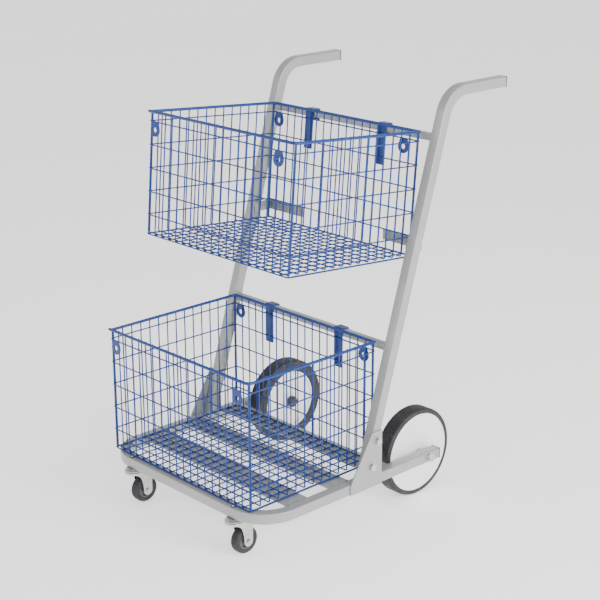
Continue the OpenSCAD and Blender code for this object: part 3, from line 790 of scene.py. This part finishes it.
def rear_wheel(side):
    """Solid tyre with mould lines and a seat for the white cover."""
    low, high = (Vector(c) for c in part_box(f"rear_tyre_{side}"))
    middle = (low + high) / 2
    radius = (high.z - low.z) / 2
    half_w = (high.x - low.x) / 2
    out = 1 if side == "right" else -1
    hub_low, hub_high = (Vector(c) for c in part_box(f"rear_hub_{side}"))
    cover_low, cover_high = (Vector(c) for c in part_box(f"rear_cover_{side}"))
    bore = (hub_high.y - hub_low.y) / 2
    seat = (cover_high.y - cover_low.y) / 2 + SEAT_PLAY
    tyre = [(bore, -half_w + 1.5 * MM), (bore + 3 * MM, -half_w), (radius - 12 * MM, -half_w),
            (radius - 11 * MM, -half_w + SIDE_LINE), (radius - 10 * MM, -half_w)]
    tyre += arc(radius - SHOULDER, -half_w + SHOULDER, SHOULDER, -90, 0, 8)
    for line in TREAD_LINES:
        y = line * half_w
        tyre += [(radius, y - 0.8 * MM), (radius - 0.7 * MM, y - 0.35 * MM),
                 (radius - 0.7 * MM, y + 0.35 * MM), (radius, y + 0.8 * MM)]
    tyre += arc(radius - SHOULDER, half_w - SHOULDER, SHOULDER, 0, 75, 7)
    tyre += [(seat, half_w - 0.4 * MM), (seat, half_w - SEAT_DEEP), (bore, half_w - SEAT_DEEP)]
    bm = bmesh.new()
    turn = Matrix.Translation(middle) @ Matrix.Rotation(math.radians(90) * out, 4, "Y")
    lathe(bm, tyre, turn, 160)
    piece(f"rear_solid_tyre_{side}", bm, f"rear_wheel_{side}",
          MATERIALS["rear_rubber"], [f"rear_tyre_{side}"])


for side in ("left", "right"):
    rear_wheel(side)

# ---------------------------------------------------------------- studio


def studio():
    """Flat pale floor, four soft lights and a white sky, brightest near the horizon."""
    bm = bmesh.new()
    corners = ((-1, -1), (1, -1), (1, 1), (-1, 1))
    # Half a millimetre down, clear of the wheels
    bm.faces.new([bm.verts.new((x * FLOOR_HALF, y * FLOOR_HALF, -0.0005)) for x, y in corners])
    floor = new_object("studio_floor", bm, smooth=False)
    n = Nodes("studio_floor")
    patch = n.span(n.noise(0.6, 2), 0.3, 0.7, 0, 1)
    colour = n.mix(patch, (0.90, 0.90, 0.90), (0.93, 0.93, 0.93))
    floor.data.materials.append(n.finish(colour, n.span(n.noise(3, 2), 0, 1, 0.7, 0.8),
                                         n.bump(n.noise(300, 2), 0.02, 0.0002), specular=0.2))
    # A lit white table: it glows a little, so shadows stay faint
    n.shader.inputs["Emission Color"].default_value = (1.0, 1.0, 1.0, 1)
    n.shader.inputs["Emission Strength"].default_value = 0.9

    world = bpy.data.worlds.new("studio")
    world.use_nodes = True
    tree = world.node_tree
    look = tree.nodes.new("ShaderNodeTexCoord")
    split = tree.nodes.new("ShaderNodeSeparateXYZ")
    height = tree.nodes.new("ShaderNodeMapRange")
    for socket, number in zip(("From Min", "From Max", "To Min", "To Max"),
                              (0.1, 0.8, 1.25, 0.55)):
        height.inputs[socket].default_value = number
    tree.links.new(look.outputs["Generated"], split.inputs["Vector"])
    tree.links.new(split.outputs["Z"], height.inputs["Value"])
    tree.links.new(height.outputs["Result"], tree.nodes["Background"].inputs["Strength"])
    tree.nodes["Background"].inputs["Color"].default_value = (1.0, 1.0, 1.0, 1)
    bpy.context.scene.world = world

    for name, place, aim, width, power in LIGHTS:
        light = bpy.data.lights.new(name, "AREA")
        light.shape = "RECTANGLE"
        light.size = width
        light.size_y = width * 0.8
        light.energy = power
        obj = bpy.data.objects.new(name, light)
        obj.location = place
        obj.rotation_euler = (Vector(aim) - Vector(place)).to_track_quat("-Z", "Y").to_euler()
        bpy.context.scene.collection.objects.link(obj)


def camera():
    """The photo's camera, at the angle, distance and lens fitted to it."""
    azimuth = math.radians(CAMERA_AZIMUTH)
    elevation = math.radians(CAMERA_ELEVATION)
    roll = math.radians(CAMERA_ROLL)
    back = Vector((math.sin(azimuth) * math.cos(elevation),
                   -math.cos(azimuth) * math.cos(elevation), math.sin(elevation)))
    across = Vector((math.cos(azimuth), math.sin(azimuth), 0))
    over = back.cross(across)
    right = across * math.cos(roll) + over * math.sin(roll)
    up = over * math.cos(roll) - across * math.sin(roll)
    data = bpy.data.cameras.new("camera")
    data.lens = CAMERA_LENS
    data.sensor_width = 36
    data.clip_end = 50
    obj = bpy.data.objects.new("camera", data)
    turn = Matrix((right, up, back)).transposed().to_4x4()
    obj.matrix_world = Matrix.Translation(Vector(CAMERA_TARGET) + back * CAMERA_DISTANCE) @ turn
    bpy.context.scene.collection.objects.link(obj)
    bpy.context.scene.camera = obj


studio()
camera()
